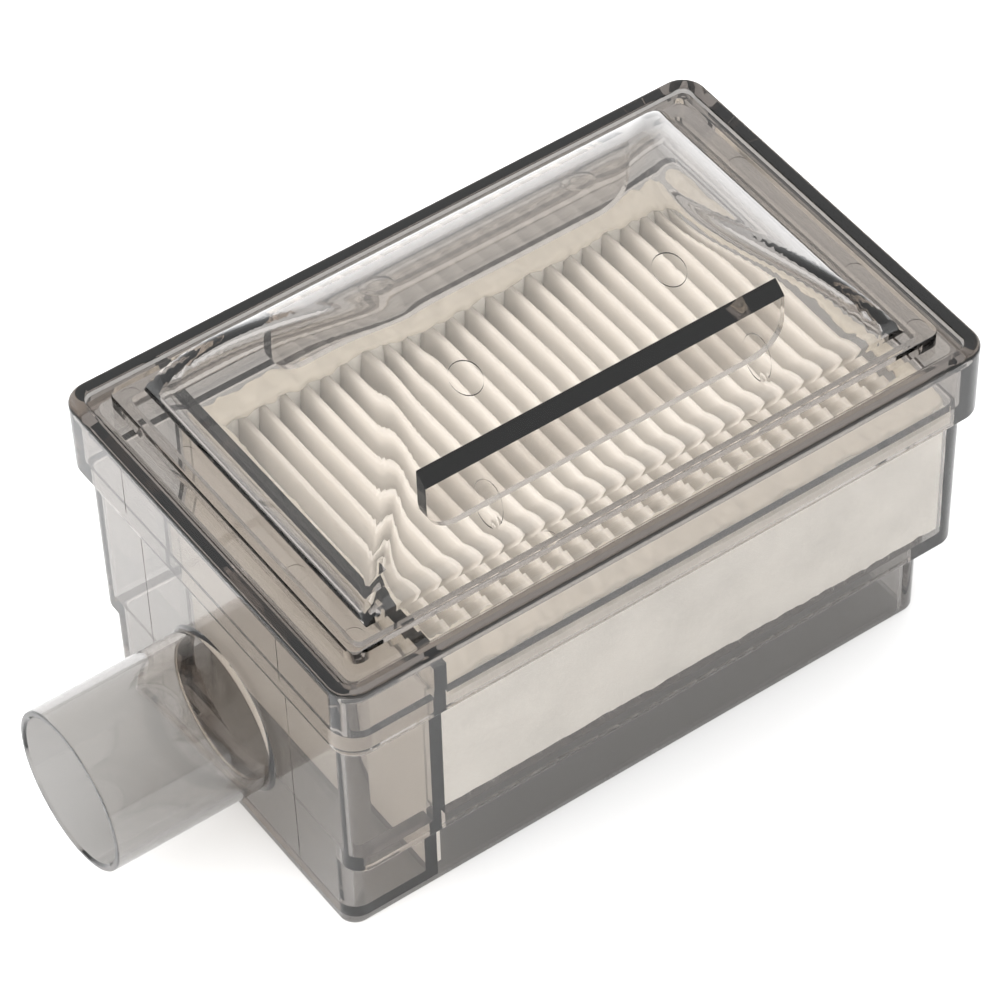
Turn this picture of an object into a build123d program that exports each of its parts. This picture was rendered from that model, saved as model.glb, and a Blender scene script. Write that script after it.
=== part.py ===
from build123d import *
import math
import os

os.makedirs("parts", exist_ok=True)

# Intake filter of an oxygen concentrator, in millimetres. X runs along the case with the
# outlet spout at -X, Y across it, and Z up from the base. It is drawn about the middle of the
# case and moved at the end, so that the origin lies under the middle of case and spout together.

# Case outline, read at the rim
rim_length = 96.0
rim_width = 61.6
rim_height = 48.1
rim_corner = 3.5
draft_angle = 0.5
edge_break = 0.4

# Heights of the two steps, and how far each lower tier stands in from the rim
skirt_bottom = 37.0
body_bottom = 12.4
body_inset_end = 1.4
body_inset_side = 2.1
base_inset_far_end = 5.4
base_inset_side = 4.5
body_corner = 2.7
base_corner = 2.3
inner_corner = 1.2

# Walls of the case
wall = 2.0
lip_wall = 2.1
seat_width = 1.2
floor_thickness = 2.0
step_thickness = 1.6

# Lid, dropped into the rim
lid_gap = 0.1
lid_sheet = 1.9
lid_strip_drop = 0.5
flange_rise = 2.1
flange_inset = 4.5
lid_corner = 1.4

# Vaulted dome of the lid, with heights measured from the top of its flange
dome_inset_end = 8.2
dome_inset_side = 7.1
dome_foot = 1.1
dome_height = 16.9
dome_wall = 1.8
dome_end_radius = 34.4
dome_end_drop = 16.0
hip_radius = 2.0

# Two ribs that hang from the roof of the dome
rib_length = 52.7
rib_thickness = 1.8
rib_offset = 15.6
rib_corner = 4.6
rib_lift = 0.2

# Round marks that the ejector pins leave on the underside of the lid
mark_depth = 0.12
flange_mark_diameter = 2.6
slope_mark_diameter = 3.4
roof_mark_diameter = 4.2
flange_mark_along = 15.0
flange_mark_inner = 11.8
flange_mark_outer = 23.9
slope_mark_x = 19.8
slope_mark_y = 19.6
roof_mark_x = 14.9
roof_mark_y = 8.9

# Outlet spout and the partition behind it
spout_diameter = 22.0
spout_wall = 1.0
spout_reach = 20.8
spout_height = 17.3
spout_flare = 0.5
partition_offset = 13.5
partition_thickness = 1.8
partition_height = 43.9

# Pleated paper, the card at its end, its two felt strips and the glue that seals them in
paper_thickness = 0.4
pleat_pitch = 3.05
crest_width = 0.5
pleat_height = 21.4
pleat_gap = 0.3
card_thickness = 0.5
felt_thickness = 1.9
felt_height = 22.6
felt_gap = 0.2
glue_width = 3.0
glue_height = 2.2

# Faces that other pieces are set against
end = rim_length / 2
side = rim_width / 2
strip_top = rim_height - lid_strip_drop
lid_seat = strip_top - lid_sheet
flange_top = strip_top + flange_rise
ledge_top = body_bottom + step_thickness
partition_near = -end + partition_offset
partition_far = partition_near + partition_thickness
spout_tip = -end - spout_reach
slope = math.tan(math.radians(draft_angle))
body_draft = slope * (skirt_bottom - body_bottom)
base_inset_spout_end = body_inset_end + body_draft
body_inner_end = end - body_inset_end - body_draft - wall
body_inner_side = side - body_inset_side - body_draft - wall


def block(x_low, x_high, y_low, y_high, z_low, z_high):
    """A plain box between six faces."""
    middle = ((x_low + x_high) / 2, (y_low + y_high) / 2, (z_low + z_high) / 2)
    return Pos(*middle) * Box(x_high - x_low, y_high - y_low, z_high - z_low)


def tier(top, bottom, near_inset, far_inset, side_inset, corner, draft=draft_angle):
    """One tier of the case, with rounded corners and, outside, mould draft towards the base."""
    x_low = -end + near_inset
    x_high = end - far_inset
    plane = Plane(origin=((x_low + x_high) / 2, 0, top), x_dir=(1, 0, 0), z_dir=(0, 0, -1))
    outline = plane * RectangleRounded(x_high - x_low, rim_width - 2 * side_inset, corner)
    return extrude(outline, amount=top - bottom, taper=draft)


def plate(bottom, top, inset, corner):
    """A flat plate with rounded corners, set in from the rim by the same amount all round."""
    outline = RectangleRounded(rim_length - 2 * inset, rim_width - 2 * inset, corner)
    return extrude(Pos(0, 0, bottom) * outline, amount=top - bottom)


def soften(solid, top=False):
    """Break the sharp edge round the lower outline of a tier, or round its upper one."""
    face = solid.faces().sort_by(Axis.Z)[-1 if top else 0]
    return chamfer(face.edges(), edge_break)


def rod(diameter, tip, root):
    """A rod on the spout's axis between two stations along X."""
    return Pos((tip + root) / 2, 0, spout_height) * Cylinder(diameter / 2, root - tip, rotation=(0, 90, 0))


# Case, outside: skirt, body and base, each stepped in from the one above it
skirt = soften(soften(tier(rim_height, skirt_bottom, 0, 0, 0, rim_corner)), top=True)
body = tier(skirt_bottom + step_thickness, body_bottom, body_inset_end - slope * step_thickness,
            body_inset_end - slope * step_thickness, body_inset_side, body_corner)
base = tier(ledge_top, 0, base_inset_spout_end - slope * step_thickness, base_inset_far_end,
            base_inset_side, base_corner)
outside = skirt + soften(body) + soften(base)

# Case, inside: a recess for the lid, then straight walls that step in with the tiers
seat_inset = lip_wall + seat_width
body_wall_end = end - body_inner_end
body_wall_side = side - body_inner_side
hollow = plate(lid_seat, rim_height + wall, lip_wall, rim_corner - lip_wall)
hollow += tier(lid_seat, skirt_bottom + step_thickness, seat_inset, seat_inset, seat_inset, inner_corner, 0)
hollow += tier(skirt_bottom + step_thickness, ledge_top, body_wall_end, body_wall_end,
               body_wall_side, inner_corner, 0)
hollow += tier(ledge_top, -wall, base_inset_spout_end + wall, base_inset_far_end + wall,
               base_inset_side + wall, inner_corner, 0)

# Case, whole: partition and closed floor make the outlet chamber, and the spout opens into it
partition = block(partition_near, partition_far, -side, side, 0, partition_height) & outside
chamber_floor = block(-end, partition_far, -side, side, 0, floor_thickness) & outside
case = outside - hollow + partition + chamber_floor
spout_root = -end + base_inset_spout_end + wall / 2
case += rod(spout_diameter, spout_tip, spout_root)
flare = Cone(spout_diameter / 2 + 2 * spout_flare, spout_diameter / 2, 2 * spout_flare, rotation=(0, -90, 0))
case += Pos(-end + base_inset_spout_end, 0, spout_height) * flare
case -= rod(spout_diameter - 2 * spout_wall, spout_tip - wall, spout_root + 2 * wall)


def vault(depth):
    """The dome as a solid: a barrel along X, crossed by the barrel ends that close it.

    The surface lies a stated depth inside the outer one, so the same form makes the hollow.
    """
    half_width = side - dome_inset_side - depth
    half_length = end - dome_inset_end - depth
    foot = flange_top + dome_foot
    crown = flange_top + dome_height - depth
    low = lid_seat - depth
    with BuildSketch(Plane.YZ) as across:
        with BuildLine():
            Polyline((half_width, foot), (half_width, low), (-half_width, low), (-half_width, foot))
            ThreePointArc((-half_width, foot), (0, crown), (half_width, foot))
        make_face()
    barrel = extrude(across.sketch, amount=half_length, both=True)
    centre_x = end - dome_inset_end - math.sqrt(dome_end_radius**2 - dome_end_drop**2)
    crossing = block(-centre_x, centre_x, -half_width, half_width, low, crown + dome_wall)
    round_end = Cylinder(dome_end_radius - depth, 2 * half_width, rotation=(90, 0, 0))
    for place in (-centre_x, centre_x):
        crossing += Pos(place, 0, flange_top - dome_end_drop) * round_end
    return barrel & crossing


# Lid: stepped flange and hollow dome, all one thickness of sheet
dome = vault(0)
hips = [edge for edge in dome.edges()
        if min(edge.bounding_box().size) > dome_height / 3]
dome = fillet(hips, hip_radius)
lid = plate(lid_seat, strip_top, lip_wall + lid_gap, lid_corner)
lid += plate(strip_top, flange_top, flange_inset, lid_corner)
lid += dome
lid -= plate(lid_seat - wall, flange_top - lid_sheet, flange_inset + lid_sheet, lid_corner)
lid -= vault(dome_wall)

# Lid: the two ribs, with round lower corners, reach up into the roof
rib_bottom = flange_top + rib_lift
rib_height = flange_top + dome_height - rib_bottom
rib_face = Pos(0, rib_bottom + rib_height / 2) * Rectangle(rib_length, rib_height)
rib_face = fillet(rib_face.vertices().group_by(Axis.Y)[0], rib_corner)
rib = extrude(Plane.XZ * rib_face, amount=rib_thickness / 2, both=True)
for place in (-rib_offset, rib_offset):
    lid += Pos(0, place, 0) * rib & vault(dome_wall / 2)


def sink(diameter, x, y, top):
    """Four round pins, mirrored both ways, that reach up to a stated height."""
    pin = Cylinder(diameter / 2, top - lid_seat, align=(Align.CENTER, Align.CENTER, Align.MIN))
    return Part() + [Pos(i * x, j * y, lid_seat) * pin for i in (-1, 1) for j in (-1, 1)]


# Lid: ejector marks, sunk a little into its underside
flange_middle_end = end - (flange_inset + dome_inset_end) / 2
flange_middle_side = side - (flange_inset + dome_inset_side) / 2
flange_under = flange_top - lid_sheet + mark_depth
sunk = vault(dome_wall - mark_depth)
lid -= sink(flange_mark_diameter, flange_middle_end, flange_mark_inner, flange_under)
lid -= sink(flange_mark_diameter, flange_middle_end, flange_mark_outer, flange_under)
lid -= sink(flange_mark_diameter, flange_mark_along, flange_middle_side, flange_under)
lid -= sink(slope_mark_diameter, slope_mark_x, slope_mark_y, flange_top + dome_height) & sunk
lid -= sink(roof_mark_diameter, roof_mark_x, roof_mark_y, flange_top + dome_height) & sunk

# Filter paper: one sheet folded to and fro along the case. Each fold is creased twice, so
# that its crest is flat, and the flanks between the crests lean a little.
card_near = partition_far + felt_gap
pack_near = card_near + card_thickness + pleat_gap
pack_far = body_inner_end - pleat_gap
pleats = int((pack_far - pack_near - crest_width - paper_thickness) / pleat_pitch)
fold_start = (pack_near + pack_far - pleats * pleat_pitch - crest_width) / 2
fold_low = ledge_top + pleat_gap + paper_thickness / 2
fold_high = fold_low + pleat_height - paper_thickness
fold_points = []
for crease in range(2 * pleats + 1):
    x = fold_start + crease * pleat_pitch / 2
    z = fold_low if crease % 2 == 0 else fold_high
    fold_points += [(x, z), (x + crest_width, z)]
fold_line = Polyline(*fold_points)
sheet = make_face(offset(fold_line, amount=paper_thickness / 2, kind=Kind.INTERSECTION).edges())
felt_outer = body_inner_side - felt_gap
felt_inner = felt_outer - felt_thickness
filter_paper = extrude(Plane.XZ * sheet, amount=felt_inner - felt_gap, both=True)

# Felt strips: pads between the ends of the pleats and the long walls, standing on the ledges
felt_bottom = ledge_top + felt_gap
felt_top = felt_bottom + felt_height
felt_length = pack_far - card_near
felt_middle = (card_near + pack_far) / 2
felt_face = Rectangle(felt_length, felt_thickness)
felt_face = fillet(felt_face.vertices().group_by(Axis.X)[-1].group_by(Axis.Y)[-1], inner_corner)
felt_place = Pos(felt_middle, (felt_inner + felt_outer) / 2, felt_bottom)
rear_felt = extrude(felt_place * felt_face, amount=felt_height)
front_felt = mirror(rear_felt, about=Plane.XZ)

# End card: stands on the partition's far side, from the level of the chamber's floor up to the
# glue, and fits between the walls of the base
card_side = side - base_inset_side - wall - pleat_gap
end_card = block(card_near, card_near + card_thickness, -card_side, card_side, floor_thickness, felt_top)

# Sealing glue: a poured ring that lies on the felt and on the outer pleats
glue_bottom = felt_top + felt_gap
glue_outline = Rectangle(felt_length, 2 * felt_outer)
glue_opening = Rectangle(felt_length - 2 * glue_width, 2 * (felt_outer - felt_thickness - glue_width))
glue_outline = fillet(glue_outline.vertices(), inner_corner)
glue = extrude(Pos(felt_middle, 0, glue_bottom) * (glue_outline - glue_opening), amount=glue_height)

nodes = {
    "case": case,
    "lid": lid,
    "filter_paper": filter_paper,
    "front_felt_strip": front_felt,
    "rear_felt_strip": rear_felt,
    "end_card": end_card,
    "sealing_glue": glue,
}
for name, solid in nodes.items():
    export_step(Pos(spout_reach / 2, 0, 0) * solid, f"parts/{name}.step")
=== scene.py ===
import math

import bmesh
import bpy
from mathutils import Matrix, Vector, noise


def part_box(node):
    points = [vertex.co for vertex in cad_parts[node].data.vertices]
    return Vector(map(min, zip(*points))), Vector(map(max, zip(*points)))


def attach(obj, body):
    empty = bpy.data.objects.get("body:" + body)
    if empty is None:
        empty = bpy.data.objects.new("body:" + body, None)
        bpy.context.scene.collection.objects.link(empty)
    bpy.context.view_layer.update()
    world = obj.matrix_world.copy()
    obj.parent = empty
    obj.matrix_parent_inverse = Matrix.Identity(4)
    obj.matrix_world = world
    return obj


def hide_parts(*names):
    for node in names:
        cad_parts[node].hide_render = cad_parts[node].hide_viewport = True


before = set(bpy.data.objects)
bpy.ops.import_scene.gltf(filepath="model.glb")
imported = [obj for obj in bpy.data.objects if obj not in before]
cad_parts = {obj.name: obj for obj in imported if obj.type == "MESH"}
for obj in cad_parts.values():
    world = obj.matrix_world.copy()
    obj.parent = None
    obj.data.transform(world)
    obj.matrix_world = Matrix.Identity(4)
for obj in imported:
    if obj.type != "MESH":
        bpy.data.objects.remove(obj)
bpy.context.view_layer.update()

# CASE
# One injection moulding in smoke-grey clear styrene: base, body and skirt step outwards, a
# partition and a closed floor make the outlet chamber, and the outlet spout stands on its end.
# All sizes are in metres, measured in from the four faces of the rim.
case_low, case_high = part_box("case")
rim_far = case_high.x
rim_length = 0.0960
rim_near = rim_far - rim_length
rim_side = case_high.y
rim_top = case_high.z
draft = math.tan(math.radians(0.5))
skirt_bottom = 0.0370
body_bottom = 0.0124
step = 0.0016
break_size = 0.0004
rim_round = 0.0006
lip = 0.0021
lid_seat = 0.0457
seat_inset = 0.0033
corner_steps = 10
rim_tier = (0.0, 0.0, 0.0, 0.0035, rim_top)
body_tier = (0.0014, 0.0014, 0.0021, 0.0027, skirt_bottom)
base_tier = (0.0016, 0.0054, 0.0045, 0.0023, body_bottom)
body_cell = (0.0036, 0.0036, 0.0043, 0.0012, skirt_bottom)
base_cell = (0.0039, 0.0074, 0.0065, 0.0012, body_bottom)


def ring(bm, z, near, far, side, corner):
    """A closed row of points: a rectangle with round corners, set in from the rim's faces."""
    x_low, x_high, y_half = rim_near + near, rim_far - far, rim_side - side
    middles = [(x_high - corner, y_half - corner), (x_low + corner, y_half - corner),
               (x_low + corner, corner - y_half), (x_high - corner, corner - y_half)]
    points = []
    for quarter, (x, y) in enumerate(middles):
        for turn in range(corner_steps + 1):
            angle = math.pi / 2 * (quarter + turn / corner_steps)
            points.append(bm.verts.new((x + corner * math.cos(angle), y + corner * math.sin(angle), z)))
    return points


def bridge(bm, rows, closed=False):
    """Faces between each row of points and the next one."""
    after = rows[1:] + rows[:1] if closed else rows[1:]
    for row, following in zip(rows, after):
        for i in range(len(row)):
            j = (i + 1) % len(row)
            bm.faces.new((row[i], row[j], following[j], following[i]))


def stack(bm, levels):
    """A closed solid from a list of rings, each (height, near, far, side, corner)."""
    rows = [ring(bm, *level) for level in levels]
    bridge(bm, rows)
    bm.faces.new(list(reversed(rows[0])))
    bm.faces.new(rows[-1])


def at(z, tier, extra=0.0, drafted=True):
    """One ring's numbers for a tier of the case at a height."""
    near, far, side, corner, top = tier
    more = extra + (draft * (top - z) if drafted else 0.0)
    return (z, near + more, far + more, side + more, max(corner - extra, 0.0002))


def rounding(z, tier, size, upwards, steps=4):
    """The rings of a rounded edge, at the foot of a tier or at its top."""
    levels = []
    for i in range(steps + 1):
        angle = math.pi / 2 * i / steps
        if upwards:
            levels.append(at(z - size * (1 - math.sin(angle)), tier, size * (1 - math.cos(angle))))
        else:
            levels.append(at(z + size * (1 - math.cos(angle)), tier, size * (1 - math.sin(angle))))
    return levels


def made(bm, name):
    """Turns the drawn faces into an object, with its faces pointing outwards."""
    bmesh.ops.recalc_face_normals(bm, faces=bm.faces)
    mesh = bpy.data.meshes.new(name)
    bm.to_mesh(mesh)
    bm.free()
    piece = bpy.data.objects.new(name, mesh)
    bpy.context.scene.collection.objects.link(piece)
    return piece


def settled(piece):
    """Applies the piece's modifiers and takes them off."""
    result = piece.evaluated_get(bpy.context.evaluated_depsgraph_get())
    mesh = bpy.data.meshes.new_from_object(result)
    piece.modifiers.clear()
    piece.data = mesh
    return piece


def worked(piece, tool, operation):
    """Joins a tool shape to the piece, or cuts it out, and throws the tool away."""
    change = piece.modifiers.new(operation.lower(), "BOOLEAN")
    change.operation = operation
    change.solver = "EXACT"
    change.object = tool
    settled(piece)
    bpy.data.objects.remove(tool)
    return piece


def polished(piece, angle):
    """Smooth shading, with edges sharper than the angle kept crisp and flat faces kept flat."""
    for face in piece.data.polygons:
        face.use_smooth = True
    piece.data.set_sharp_from_angle(angle=math.radians(angle))
    weigh = piece.modifiers.new("flat faces", "WEIGHTED_NORMAL")
    weigh.weight = 100
    weigh.keep_sharp = True
    return settled(piece)


def turned(bm, profile, axis_height, steps=96):
    """A closed solid turned about the spout's axis, from (station along X, radius) pairs."""
    rows = []
    for x, radius in profile:
        angles = [2 * math.pi * i / steps for i in range(steps)]
        rows.append([bm.verts.new((x, radius * math.cos(a), axis_height + radius * math.sin(a)))
                     for a in angles])
    bridge(bm, rows)
    bm.faces.new(list(reversed(rows[0])))
    bm.faces.new(rows[-1])


flush = base_tier[0] - 0.00002
levels = rounding(0.0, base_tier, break_size, upwards=False)
levels.append(at(body_bottom, base_tier))
for z, near, far, side, corner in rounding(body_bottom, body_tier, break_size, upwards=False):
    levels.append((z, min(near, flush), far, side, corner))
levels.append(at(skirt_bottom, body_tier))
levels += rounding(skirt_bottom, rim_tier, break_size, upwards=False)
levels += rounding(rim_top, rim_tier, rim_round, upwards=True)
lip_round = 0.0003
levels += [(rim_top, lip - lip_round, lip - lip_round, lip - lip_round, 0.0017),
           (rim_top - 0.0001, lip - 0.0001, lip - 0.0001, lip - 0.0001, 0.0015),
           (rim_top - lip_round, lip, lip, lip, 0.0014),
           (lid_seat, lip, lip, lip, 0.0014),
           (lid_seat, seat_inset, seat_inset, seat_inset, 0.0012),
           (skirt_bottom + step, seat_inset, seat_inset, seat_inset, 0.0012),
           at(skirt_bottom + step, body_cell, drafted=False),
           at(body_bottom + step, body_cell, drafted=False),
           at(body_bottom + step, base_cell, drafted=False),
           at(0.0, base_cell, drafted=False)]
bm = bmesh.new()
bridge(bm, [ring(bm, *level) for level in levels], closed=True)
case = made(bm, "clear_case")

partition_near = 0.0135
partition_far = 0.0153
partition_top = 0.0439
floor_top = 0.0020
into_wall = 0.0010
far_inset = rim_length - partition_far
bm = bmesh.new()
beyond = (partition_near, far_inset)
stack(bm, [(0.00005, *beyond, base_cell[2] - into_wall, 0.0001),
           (body_bottom + step / 2, *beyond, base_cell[2] - into_wall, 0.0001),
           (body_bottom + step / 2, *beyond, body_cell[2] - into_wall, 0.0001),
           (skirt_bottom + step / 2, *beyond, body_cell[2] - into_wall, 0.0001),
           (skirt_bottom + step / 2, *beyond, seat_inset - into_wall, 0.0001),
           (partition_top, *beyond, seat_inset - into_wall, 0.0001)])
worked(case, made(bm, "partition"), "UNION")
bm = bmesh.new()
floor_far = far_inset + (partition_far - partition_near) / 2
stack(bm, [(0.00003, base_cell[0] - into_wall, floor_far, base_cell[2] - into_wall, 0.0001),
           (floor_top, base_cell[0] - into_wall, floor_far, base_cell[2] - into_wall, 0.0001)])
worked(case, made(bm, "chamber floor"), "UNION")

spout_radius = 0.0110
spout_bore = 0.0100
spout_height = 0.0173
spout_flare = 0.0008
spout_tip = case_low.x
mouth_round = 0.0003
end_wall = rim_near + body_tier[0] + draft * (skirt_bottom - spout_height)
profile = [(spout_tip, spout_radius - mouth_round),
           (spout_tip + 0.3 * mouth_round, spout_radius - 0.3 * mouth_round),
           (spout_tip + mouth_round, spout_radius)]
for i in range(7):
    angle = math.pi / 2 * i / 6
    profile.append((end_wall - spout_flare * (1 - math.sin(angle)),
                    spout_radius + spout_flare * (1 - math.cos(angle))))
profile.append((end_wall + into_wall, spout_radius + spout_flare))
bm = bmesh.new()
turned(bm, profile, spout_height)
worked(case, made(bm, "spout"), "UNION")
bm = bmesh.new()
turned(bm, [(spout_tip - 0.001, spout_bore + mouth_round), (spout_tip, spout_bore + mouth_round),
            (spout_tip + mouth_round, spout_bore), (rim_near + 0.008, spout_bore)], spout_height)
worked(case, made(bm, "bore"), "DIFFERENCE")

# Fine lines down the spout's end, where two parts of the mould met: (face, top of its tier,
# place across, lower end, upper end).
seam_width = 0.00014
seam_depth = 0.00010
seam_reach = 0.0010
body_face = rim_near + body_tier[0]
seams = ((rim_near, rim_top, 0.0165, 0.0392, 0.0472), (rim_near, rim_top, -0.0167, 0.0392, 0.0472),
         (body_face, skirt_bottom, 0.0160, 0.0030, 0.0352),
         (body_face, skirt_bottom, -0.0155, 0.0008, 0.0352))
for face_x, tier_top, seam_y, seam_low, seam_high in seams:
    bm = bmesh.new()
    bmesh.ops.create_cube(bm, size=1.0)
    for vert in bm.verts:
        z = seam_high if vert.co.z > 0 else seam_low
        depth = seam_depth if vert.co.x > 0 else -seam_reach
        vert.co = (face_x + draft * (tier_top - z) + depth, seam_y + vert.co.y * seam_width, z)
    worked(case, made(bm, "seam"), "DIFFERENCE")


def linear(hex_colour):
    """An sRGB colour, written as six hex digits, as linear red, green, blue and alpha."""
    values = [int(hex_colour[i:i + 2], 16) / 255 for i in (0, 2, 4)]
    return [v / 12.92 if v <= 0.04045 else ((v + 0.055) / 1.055) ** 2.4 for v in values] + [1.0]


def add(tree, kind, settings=None, links=None):
    """Adds one node, sets its values by name and links its inputs from (node, output) pairs."""
    node = tree.nodes.new(kind)
    for name, value in (settings or {}).items():
        if isinstance(name, int) or name in node.inputs:
            node.inputs[name].default_value = value
        else:
            setattr(node, name, value)
    for name, (source, output) in (links or {}).items():
        tree.links.new(source.outputs[output], node.inputs[name])
    return node


def material(name):
    """An empty material with its output node."""
    made_material = bpy.data.materials.new(name)
    made_material.use_nodes = True
    made_material.node_tree.nodes.clear()
    return made_material, made_material.node_tree


# Smoke-tinted styrene, injection moulded and glossy: it bends light like glass, and its grey
# shows faintly through one wall and nearly black along an edge, where light travels far in it.
# The lamps' light reaches the pack straight through it.
smoke_plastic, tree = material("smoke_tinted_clear_styrene")
gloss = add(tree, "ShaderNodeBsdfPrincipled", {
    "Base Color": linear("fdfcfa"), "Roughness": 0.0, "IOR": 1.57, "Transmission Weight": 1.0})
lamp_way = add(tree, "ShaderNodeBsdfTransparent", {"Color": linear("fefdfb")})
path = add(tree, "ShaderNodeLightPath")
either = add(tree, "ShaderNodeMixShader",
             links={0: (path, "Is Shadow Ray"), 1: (gloss, 0), 2: (lamp_way, 0)})
tint = add(tree, "ShaderNodeVolumeAbsorption", {"Color": linear("a08f82"), "Density": 120.0})
add(tree, "ShaderNodeOutputMaterial", links={"Surface": (either, 0), "Volume": (tint, 0)})

case.data.materials.clear()
case.data.materials.append(smoke_plastic)
polished(case, 32)
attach(case, "root")
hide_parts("case")

# FELT STRIPS
# Two pads of off-white needled felt, cut from sheet, that close the ends of the pleats along
# the long walls. They stand on the inner ledges, and their cut lower edges are fuzzy.
felt_wave = 0.00025
waves_per_metre = 260.0
edge_waves_per_metre = 700.0
cut_near = 0.0015
cut_far = 0.0006
felt, tree = material("off_white_needled_felt")
spot = add(tree, "ShaderNodeTexCoord")
fibre_size = 0.0006
patch_size = 0.008
fibres = add(tree, "ShaderNodeTexNoise", {"Scale": 1 / fibre_size, "Detail": 4.0, "Roughness": 0.7},
             {"Vector": (spot, "Object")})
patches = add(tree, "ShaderNodeTexNoise", {"Scale": 1 / patch_size, "Detail": 3.0},
              {"Vector": (spot, "Object")})
both = add(tree, "ShaderNodeMath", {"operation": "MULTIPLY_ADD", 1: 0.6},
           {0: (fibres, "Fac"), 2: (patches, "Fac")})
shades = add(tree, "ShaderNodeValToRGB", links={"Fac": (both, 0)})
shades.color_ramp.elements[0].position = 0.45
shades.color_ramp.elements[0].color = linear("e6e6e3")
shades.color_ramp.elements[1].position = 1.05
shades.color_ramp.elements[1].color = linear("fafaf7")
raised = add(tree, "ShaderNodeBump", {"Strength": 0.5, "Distance": 0.00015}, {"Height": (fibres, "Fac")})
body = add(tree, "ShaderNodeBsdfPrincipled", {"Roughness": 0.95, "Sheen Weight": 0.2},
           {"Base Color": (shades, 0), "Normal": (raised, 0)})
add(tree, "ShaderNodeOutputMaterial", links={"Surface": (body, 0)})

# Loose fibres stand out of the cut edge: short thin spikes, strewn over the foot of each strip.
# They point down, give or take about 70 degrees along the strip.
fuzzy_height = 0.0006
fibre_tree = bpy.data.node_groups.new("loose fibres", "GeometryNodeTree")
fibre_tree.interface.new_socket("Geometry", in_out="INPUT", socket_type="NodeSocketGeometry")
for name, value in (("Edge height", 0.0), ("Fibres", 2.6e6), ("Fibre length", 0.0008),
                    ("Fibre radius", 0.000022)):
    socket = fibre_tree.interface.new_socket(name, in_out="INPUT", socket_type="NodeSocketFloat")
    socket.default_value = value
fibre_tree.interface.new_socket("Geometry", in_out="OUTPUT", socket_type="NodeSocketGeometry")
given = add(fibre_tree, "NodeGroupInput")
place = add(fibre_tree, "GeometryNodeInputPosition")
height = add(fibre_tree, "ShaderNodeSeparateXYZ", links={0: (place, 0)})
margin = add(fibre_tree, "ShaderNodeMath", {"operation": "ADD", 1: fuzzy_height},
             {0: (given, "Edge height")})
foot = add(fibre_tree, "ShaderNodeMath", {"operation": "LESS_THAN"}, {0: (height, "Z"), 1: (margin, 0)})
strewn = add(fibre_tree, "GeometryNodeDistributePointsOnFaces", {"Seed": 7},
             {"Mesh": (given, "Geometry"), "Selection": (foot, 0), "Density": (given, "Fibres")})
fibre = add(fibre_tree, "GeometryNodeMeshCone", {"Vertices": 4, "Radius Top": 0.000008},
            {"Radius Bottom": (given, "Fibre radius"), "Depth": (given, "Fibre length")})
lean = add(fibre_tree, "FunctionNodeRandomValue", {
    "data_type": "FLOAT_VECTOR", 0: (2.95, -1.25, 0.0), 1: (3.33, 1.25, 3.0), "Seed": 11})
length = add(fibre_tree, "FunctionNodeRandomValue", {"data_type": "FLOAT", 2: 0.3, 3: 1.0, "Seed": 13})
turn = add(fibre_tree, "FunctionNodeEulerToRotation", links={0: (lean, 0)})
copies = add(fibre_tree, "GeometryNodeInstanceOnPoints", {},
             {"Points": (strewn, "Points"), "Instance": (fibre, 0), "Rotation": (turn, 0), "Scale": (length, 1)})
solid = add(fibre_tree, "GeometryNodeRealizeInstances", links={0: (copies, 0)})
coated = add(fibre_tree, "GeometryNodeSetMaterial", {"Material": felt}, {"Geometry": (solid, 0)})
joined = add(fibre_tree, "GeometryNodeJoinGeometry", links={0: (coated, 0)})
fibre_tree.links.new(given.outputs["Geometry"], joined.inputs[0])
add(fibre_tree, "NodeGroupOutput", links={0: (joined, 0)})


def cut_sheet(low, high):
    """A flat piece cut from sheet, as large as the box between two corners."""
    bm = bmesh.new()
    bmesh.ops.create_cube(bm, size=1.0)
    for vert in bm.verts:
        share = vert.co + Vector((0.5, 0.5, 0.5))
        vert.co = [low[i] + (high[i] - low[i]) * share[i] for i in range(3)]
    return bm


cuts_along = 90
cuts_up = 20
for node, name in (("front_felt_strip", "felt_strip_front"), ("rear_felt_strip", "felt_strip_rear")):
    low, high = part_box(node)
    bm = cut_sheet(low, high)
    strip_length, strip_height = high.x - low.x, high.z - low.z
    long_edges = [e for e in bm.edges if e.calc_length() > 0.9 * strip_length]
    bmesh.ops.subdivide_edges(bm, edges=long_edges, cuts=cuts_along)
    upright_edges = [e for e in bm.edges if e.calc_length() > 0.9 * strip_height]
    bmesh.ops.subdivide_edges(bm, edges=upright_edges, cuts=cuts_up)
    middle_y = (low.y + high.y) / 2
    for vert in bm.verts:
        drift = noise.noise_vector(vert.co * waves_per_metre) * felt_wave
        inwards = 1 if vert.co.y < middle_y else -1
        vert.co.y += inwards * abs(drift.y)
        if vert.co.z < low.z + 0.0001:
            askew = cut_near + (cut_far - cut_near) * (vert.co.x - low.x) / (high.x - low.x)
            vert.co.z += askew + 2.0 * noise.noise(vert.co * edge_waves_per_metre) * felt_wave
    strip = made(bm, name)
    strip.data.materials.append(felt)
    fuzz = strip.modifiers.new("fuzz", "NODES")
    fuzz.node_group = fibre_tree
    for socket in fibre_tree.interface.items_tree:
        if socket.name == "Edge height":
            fuzz[socket.identifier] = low.z + cut_near
    settled(strip)
    for face in strip.data.polygons:
        face.use_smooth = True
    strip.data.set_sharp_from_angle(angle=math.radians(50))
    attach(strip, "root")
    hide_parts(node)

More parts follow.
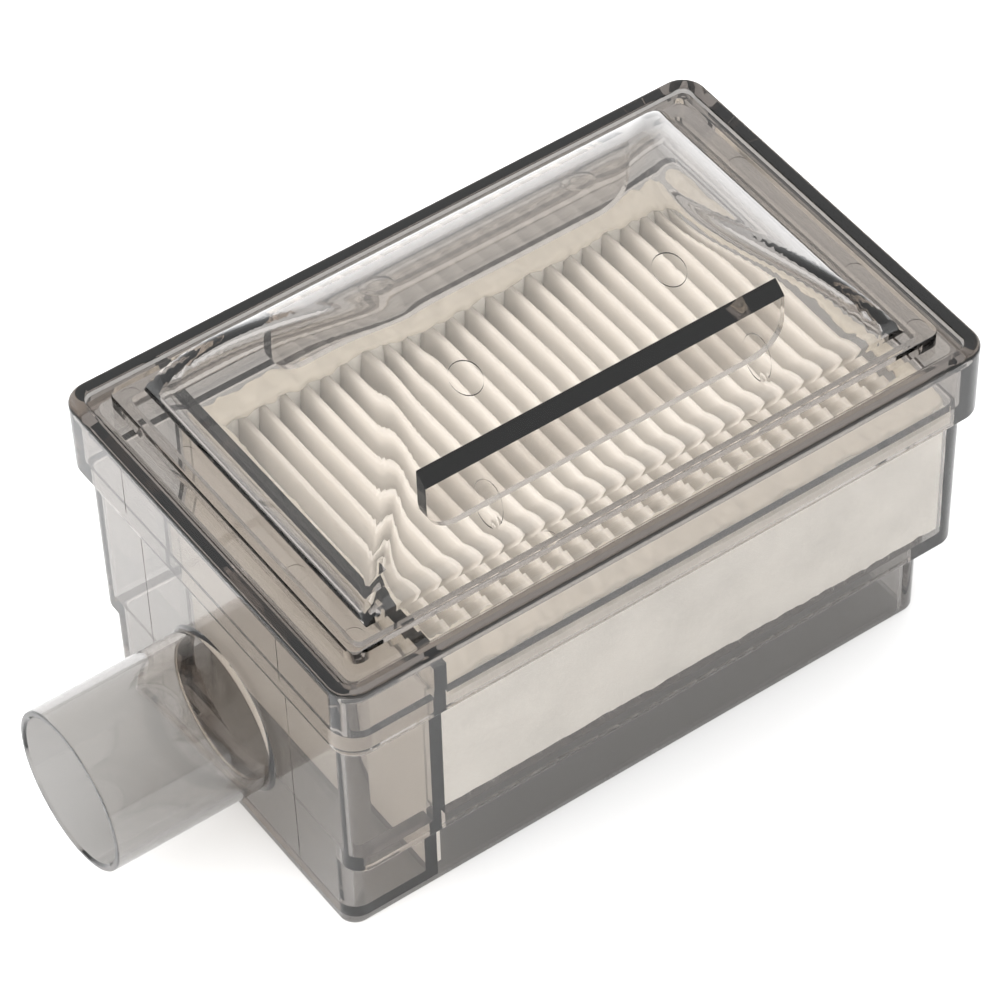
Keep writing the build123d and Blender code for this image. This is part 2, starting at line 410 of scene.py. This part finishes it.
# FILTER PAPER
# One long sheet of cream glass-fibre paper, folded to and fro by machine. Light soaks through it,
# so its flanks look nearly as bright as the creases, which wander a little across the case.
paper_low, paper_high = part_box("filter_paper")
pleat_pitch = 0.00305
paper_thickness = 0.0004
paper_grain = 0.0004
crest_round = 0.00022
crest_steps = 4
crest_wander = 0.00014
crest_uneven = 0.00012
rows_across = 60
span = paper_high - paper_low
pleat_count = int(span.x / pleat_pitch)
bm = bmesh.new()
half = paper_thickness / 2
floor_z, crest_z = paper_low.z + half + crest_uneven, paper_high.z - half - crest_uneven
start_x = (paper_low.x + paper_high.x - pleat_count * pleat_pitch) / 2
profile = []
for fold in range(2 * pleat_count + 1):
    upper = fold % 2 == 1
    level = crest_z if upper else floor_z
    sign = 1 if upper else -1
    for i in range(crest_steps + 1):
        angle = math.pi * (i / crest_steps)
        profile.append((start_x + fold * pleat_pitch / 2 - crest_round * math.cos(angle),
                        level - sign * crest_round * (1 - math.sin(angle))))
columns = []
for i in range(rows_across + 1):
    y = paper_low.y + span.y * i / rows_across
    column = []
    for x, z in profile:
        sway = noise.noise(Vector((x * 300.0, y * 90.0, z * 40.0))) * crest_wander
        lift = noise.noise(Vector((x * 400.0, y * 60.0, 7.0))) * crest_uneven
        column.append(bm.verts.new((x + sway, y, z + lift)))
    columns.append(column)
for column, following in zip(columns, columns[1:]):
    for i in range(len(column) - 1):
        bm.faces.new((column[i], column[i + 1], following[i + 1], following[i]))
paper = made(bm, "pleated_paper")
thicken = paper.modifiers.new("sheet", "SOLIDIFY")
thicken.thickness = paper_thickness
thicken.offset = 0
settled(paper)
for face in paper.data.polygons:
    face.use_smooth = True

cream_paper, tree = material("cream_glass_fibre_filter_paper")
spot = add(tree, "ShaderNodeTexCoord")
fibres = add(tree, "ShaderNodeTexNoise", {"Scale": 1 / paper_grain, "Detail": 3.0},
             {"Vector": (spot, "Object")})
shades = add(tree, "ShaderNodeValToRGB", links={"Fac": (fibres, "Fac")})
shades.color_ramp.elements[0].color = linear("fbf8f3")
shades.color_ramp.elements[1].color = linear("ffffff")
raised = add(tree, "ShaderNodeBump", {"Strength": 0.3, "Distance": 0.0001}, {"Height": (fibres, "Fac")})
front = add(tree, "ShaderNodeBsdfPrincipled", {"Roughness": 0.9},
            {"Base Color": (shades, 0), "Normal": (raised, 0)})
behind = add(tree, "ShaderNodeBsdfTranslucent", links={"Color": (shades, 0)})
body = add(tree, "ShaderNodeMixShader", {0: 0.5}, {1: (front, 0), 2: (behind, 0)})
add(tree, "ShaderNodeOutputMaterial", links={"Surface": (body, 0)})
paper.data.materials.append(cream_paper)
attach(paper, "root")
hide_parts("filter_paper")

# END CARD
# A smooth white card on the far side of the partition. It shows plain white through the chamber.
card = made(cut_sheet(*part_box("end_card")), "white_end_card")
white_card, tree = material("smooth_white_card")
body = add(tree, "ShaderNodeBsdfPrincipled", {"Base Color": linear("fbfaf7"), "Roughness": 0.6})
add(tree, "ShaderNodeOutputMaterial", links={"Surface": (body, 0)})
card.data.materials.append(white_card)
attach(card, "root")
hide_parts("end_card")

# SEALING GLUE
# A ring of milky hot melt poured over the felt and the ends of the pleats. It set in uneven
# lumps, so it glints in many places.
glue_low, glue_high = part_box("sealing_glue")
glue_end_width = 0.0030
glue_side_width = 0.0049
glue_lump = 0.0004
glue_corner = 0.0012
glue_inner_corner = 0.0006
glue_squareness = 0.5
lumps_per_metre = 380.0
grains_per_metre = 1000.0
glue_spacing = 0.0004
glue_corner_steps = 6
glue_round_steps = 22
centre = (glue_low + glue_high) / 2


def track(half_x, half_y, corner):
    """Evenly spaced points round a rectangle with round corners, the same number for any size."""
    points = []
    counts = [int(size / glue_spacing) for size in (glue_high.y - glue_low.y, glue_high.x - glue_low.x)] * 2
    middles = [(half_x - corner, half_y - corner), (corner - half_x, half_y - corner),
               (corner - half_x, corner - half_y), (half_x - corner, corner - half_y)]
    for quarter in range(4):
        x, y = middles[quarter - 1]
        angle = math.pi / 2 * quarter
        start = Vector((x + corner * math.cos(angle), y + corner * math.sin(angle), 0))
        x, y = middles[quarter]
        finish = Vector((x + corner * math.cos(angle), y + corner * math.sin(angle), 0))
        points += [start.lerp(finish, i / counts[quarter]) for i in range(counts[quarter])]
        for i in range(glue_corner_steps):
            bend = angle + math.pi / 2 * i / glue_corner_steps
            points.append(Vector((x + corner * math.cos(bend), y + corner * math.sin(bend), 0)))
    return points


half_x, half_y = (glue_high.x - glue_low.x) / 2 - glue_lump, (glue_high.y - glue_low.y) / 2 - glue_lump
outer = track(half_x, half_y, glue_corner)
inner = track(half_x - glue_end_width + 2 * glue_lump, half_y - glue_side_width + 2 * glue_lump,
              glue_inner_corner)
half_z = (glue_high.z - glue_low.z) / 2 - glue_lump
bm = bmesh.new()
sections = []
for outside, inside in zip(outer, inner):
    section = []
    for i in range(glue_round_steps):
        angle = 2 * math.pi * i / glue_round_steps
        flat = math.copysign(abs(math.cos(angle)) ** glue_squareness, math.cos(angle))
        tall = math.copysign(abs(math.sin(angle)) ** glue_squareness, math.sin(angle))
        point = centre + inside.lerp(outside, 0.5 + 0.5 * flat) + Vector((0, 0, half_z * tall))
        swell = noise.noise(point * lumps_per_metre) + 0.5 * noise.noise(point * grains_per_metre)
        lump = glue_lump * max(-1.0, min(1.0, 1.6 * swell))
        along = (outside - inside).normalized() * math.cos(angle)
        section.append(bm.verts.new(point + (along + Vector((0, 0, math.sin(angle)))) * lump))
    sections.append(section)
bridge(bm, sections, closed=True)
glue = made(bm, "glue_ring")
for face in glue.data.polygons:
    face.use_smooth = True
hot_melt, tree = material("milky_hot_melt_glue")
body = add(tree, "ShaderNodeBsdfPrincipled", {"Base Color": linear("d2cec5"), "Roughness": 0.12, "IOR": 1.48})
add(tree, "ShaderNodeOutputMaterial", links={"Surface": (body, 0)})
glue.data.materials.append(hot_melt)
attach(glue, "root")
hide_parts("sealing_glue")

# LID
# The second moulding in the same plastic, dropped into the rim and welded there: a stepped
# flange, a dome with four soft hips, and two ribs that hang from its roof.
strip_top = 0.0476
flange_top = 0.0497
seat_gap = 0.00006
strip_inset = lip + 0.00012
pad_inset = 0.0045
under_inset = 0.0064
under_top = 0.0478
lid_round = 0.00025
dome_length = rim_far - rim_near - 2 * 0.0082
dome_width = 2 * (rim_side - 0.0071)
dome_foot = 0.0011
dome_height = 0.0169
dome_wall = 0.0018
dome_net = 0.0008
least_foot = 0.0003
recess_low = 0.0400
hollow_low = 0.0450
end_radius = 0.0344
end_drop = 0.0159
hip_softness = 0.0014
inner_softness = 0.0011
middle_x = (rim_near + rim_far) / 2
end_centre = dome_length / 2 - math.sqrt(end_radius ** 2 - (end_drop + 0.0001) ** 2)
half_chord = dome_width / 2
rise = dome_height - dome_foot
side_radius = (half_chord ** 2 + rise ** 2) / (2 * rise)


def roof(x, y, depth):
    """Height of the dome at a place in plan, for a surface a stated depth inside the outer one."""
    side_height = dome_foot + rise - side_radius
    side_height += math.sqrt(max((side_radius - depth) ** 2 - y ** 2, 0.0))
    beyond = max(abs(x - middle_x) - end_centre, 0.0)
    end_height = math.sqrt(max((end_radius - depth) ** 2 - beyond ** 2, 0.0)) - end_drop
    softness = inner_softness if depth else hip_softness
    share = min(max(0.5 + 0.5 * (end_height - side_height) / softness, 0.0), 1.0)
    blended = end_height * (1 - share) + side_height * share - softness * share * (1 - share)
    return flange_top + blended


def dome_solid(depth, low, spacing):
    """The dome as a closed solid down to a stated level, its top drawn as a fine net."""
    half_x, half_y = dome_length / 2 - depth, dome_width / 2 - depth
    count_x, count_y = int(2 * half_x / spacing), int(2 * half_y / spacing)
    bm = bmesh.new()
    net = []
    for i in range(count_x + 1):
        x = middle_x + half_x * (2 * i / count_x - 1)
        row = []
        for j in range(count_y + 1):
            y = half_y * (2 * j / count_y - 1)
            row.append(bm.verts.new((x, y, max(roof(x, y, depth), low + least_foot))))
        net.append(row)
    for i in range(count_x):
        for j in range(count_y):
            bm.faces.new((net[i][j], net[i + 1][j], net[i + 1][j + 1], net[i][j + 1]))
    edge = [row[0] for row in net] + net[-1][1:] + [row[-1] for row in reversed(net[:-1])]
    edge += list(reversed(net[0][1:-1]))
    foot = [bm.verts.new((v.co.x, v.co.y, low)) for v in edge]
    bridge(bm, [foot, edge])
    bm.faces.new(foot)
    return made(bm, "dome")


def plain(z, inset, corner):
    """One ring's numbers where the inset is the same all round."""
    return (z, inset, inset, inset, corner)


bm = bmesh.new()
strip_low = lid_seat + seat_gap
stack(bm, [plain(strip_low, strip_inset, 0.0013),
           plain(strip_top - lid_round, strip_inset, 0.0013),
           plain(strip_top - 0.3 * lid_round, strip_inset + 0.3 * lid_round, 0.0013),
           plain(strip_top, strip_inset + lid_round, 0.0012),
           plain(strip_top, pad_inset, 0.0014),
           plain(flange_top - lid_round, pad_inset, 0.0014),
           plain(flange_top - 0.3 * lid_round, pad_inset + 0.3 * lid_round, 0.0013),
           plain(flange_top, pad_inset + lid_round, 0.0012)])
lid = made(bm, "clear_lid")
dome_low = under_top + 0.0005
worked(lid, dome_solid(0.0, dome_low, dome_net), "UNION")
bm = bmesh.new()
stack(bm, [plain(recess_low, under_inset, 0.0010), plain(under_top, under_inset, 0.0010)])
worked(lid, made(bm, "recess"), "DIFFERENCE")
worked(lid, dome_solid(dome_wall, hollow_low, dome_net), "DIFFERENCE")

# The ribs follow the roof with their upper edge, which ends inside the dome's wall.
rib_half = 0.02635
rib_thickness = 0.0018
rib_offset = 0.0156
rib_low = flange_top + 0.0002
rib_corner = 0.0046
rib_steps = 70
for offset in (-rib_offset, rib_offset):
    bm = bmesh.new()
    rows = []
    for y in (offset - rib_thickness / 2, offset + rib_thickness / 2):
        lower, upper = [], []
        for i in range(rib_steps + 1):
            x = rib_half * math.sin(math.pi / 2 * (2 * i / rib_steps - 1))
            from_end = rib_half - abs(x)
            lift = 0.0
            if from_end < rib_corner:
                lift = rib_corner - math.sqrt(rib_corner ** 2 - (rib_corner - from_end) ** 2)
            lower.append(bm.verts.new((middle_x + x, y, rib_low + lift)))
            upper.append(bm.verts.new((middle_x + x, y, roof(middle_x + x, y, dome_wall / 2))))
        rows.append((lower, upper))
    for lower, upper in rows:
        for i in range(rib_steps):
            bm.faces.new((lower[i], lower[i + 1], upper[i + 1], upper[i]))
    outlines = [lower + list(reversed(upper)) for lower, upper in rows]
    bridge(bm, outlines)
    worked(lid, made(bm, "rib"), "UNION")

# Ejector pins leave shallow round marks inside the dome. Those of the flange are cut from above,
# where they look the same through the clear plastic. Each row is a place, a radius and a kind, and
# stands for four marks, one in each quarter.
mark_depth = 0.00020
flange_mark_depth = 0.00008
mark_steps = 40
mark_reach = 0.0015
marks = [(0.0149, 0.0089, 0.0021, True), (0.0198, 0.0196, 0.0017, True),
         (0.0150, 0.0250, 0.0013, False), (0.0416, 0.0118, 0.0013, False), (0.0416, 0.0239, 0.0013, False)]
for mark_x, mark_y, radius, on_dome in marks:
    for x, y in [(mark_x, mark_y), (-mark_x, mark_y), (mark_x, -mark_y), (-mark_x, -mark_y)]:
        bm = bmesh.new()
        rows = []
        for share in (1.0, 0.66, 0.33):
            row = []
            for i in range(mark_steps):
                angle = 2 * math.pi * i / mark_steps
                px = middle_x + x + share * radius * math.cos(angle)
                py = y + share * radius * math.sin(angle)
                pz = roof(px, py, dome_wall) + mark_depth if on_dome else flange_top - flange_mark_depth
                row.append(bm.verts.new((px, py, pz)))
            rows.append(row)
        reach = -mark_reach if on_dome else mark_reach
        foot = [bm.verts.new((v.co.x, v.co.y, v.co.z + reach)) for v in rows[0]]
        bridge(bm, [foot] + rows)
        bm.faces.new(foot)
        bm.faces.new(rows[-1])
        worked(lid, made(bm, "mark"), "DIFFERENCE")
lid.data.materials.clear()
lid.data.materials.append(smoke_plastic)
polished(lid, 32)
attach(lid, "root")
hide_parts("lid")

# FLOOR, LIGHT AND CAMERA
# A plain table in a white light tent. The camera sees the table as white paper with the soft
# shadow on it; through the clear walls it shows a darker grey, which is painted shade under the part.
bm = bmesh.new()
bmesh.ops.create_grid(bm, x_segments=1, y_segments=1, size=3.0)
table_top = made(bm, "table_top")
table_white, tree = material("matt_white_table_top_with_painted_shade")
path = add(tree, "ShaderNodeLightPath")
# Painted shade: rays that come through the clear walls see the table at 0.18 instead of 0.55.
white_and_painted_shade = add(tree, "ShaderNodeMapRange", {"To Min": 0.55, "To Max": 0.18},
           {"Value": (path, "Is Transmission Ray")})
body = add(tree, "ShaderNodeBsdfPrincipled", {"Roughness": 0.9}, {"Base Color": (white_and_painted_shade, 0)})
add(tree, "ShaderNodeOutputMaterial", links={"Surface": (body, 0)})
table_top.data.materials.append(table_white)

world = bpy.data.worlds.new("studio")
bpy.context.scene.world = world
world.use_nodes = True
tree = world.node_tree
tree.nodes.clear()
way = add(tree, "ShaderNodeTexCoord")
parts = add(tree, "ShaderNodeSeparateXYZ", links={0: (way, "Generated")})
tent = add(tree, "ShaderNodeMapRange", {"From Min": -1.0, "From Max": 1.0, "To Min": 0.85, "To Max": 1.0},
           {"Value": (parts, "Y")})
path = add(tree, "ShaderNodeLightPath")
glossy = add(tree, "ShaderNodeMath", {"operation": "MAXIMUM"},
             {0: (path, "Is Glossy Ray"), 1: (path, "Is Transmission Ray")})
seen = add(tree, "ShaderNodeMath", {"operation": "MAXIMUM"}, {0: (glossy, 0), 1: (path, "Is Camera Ray")})
gain = add(tree, "ShaderNodeMapRange", {"To Min": 2.6, "To Max": 1.0}, {"Value": (seen, 0)})
strength = add(tree, "ShaderNodeMath", {"operation": "MULTIPLY"}, {0: (tent, 0), 1: (gain, 0)})
sky = add(tree, "ShaderNodeBackground", {"Color": linear("ffffff")}, {"Strength": (strength, 0)})
add(tree, "ShaderNodeOutputWorld", links={"Surface": (sky, 0)})

aim = Vector((middle_x, 0, 0.03))
for name, place, size, brightness in (
        ("lamp_above", (-0.10, 0.35, 0.75), 0.70, 3.5),
        ("lamp_left", (-0.85, 0.05, 0.45), 0.60, 6.0),
        ("lamp_front", (-0.20, -0.95, 0.55), 0.80, 4.5)):
    lamp = bpy.data.lights.new(name, "AREA")
    lamp.size = size
    lamp.energy = brightness * math.pi * size ** 2
    holder = bpy.data.objects.new(name, lamp)
    holder.location = place
    holder.rotation_euler = (aim - Vector(place)).to_track_quat("-Z", "Y").to_euler()
    holder.visible_glossy = False
    holder.visible_transmission = False
    bpy.context.scene.collection.objects.link(holder)

camera = bpy.data.objects.new("camera", bpy.data.cameras.new("camera"))
camera.location = (-0.2300, -0.3465, 0.4883)
camera.rotation_euler = [math.radians(a) for a in (42.274, 1.220, -35.613)]
camera.data.lens = 180.25
camera.data.sensor_width = 36.0
bpy.context.scene.collection.objects.link(camera)
bpy.context.scene.camera = camera
bpy.context.scene.view_settings.view_transform = "Standard"
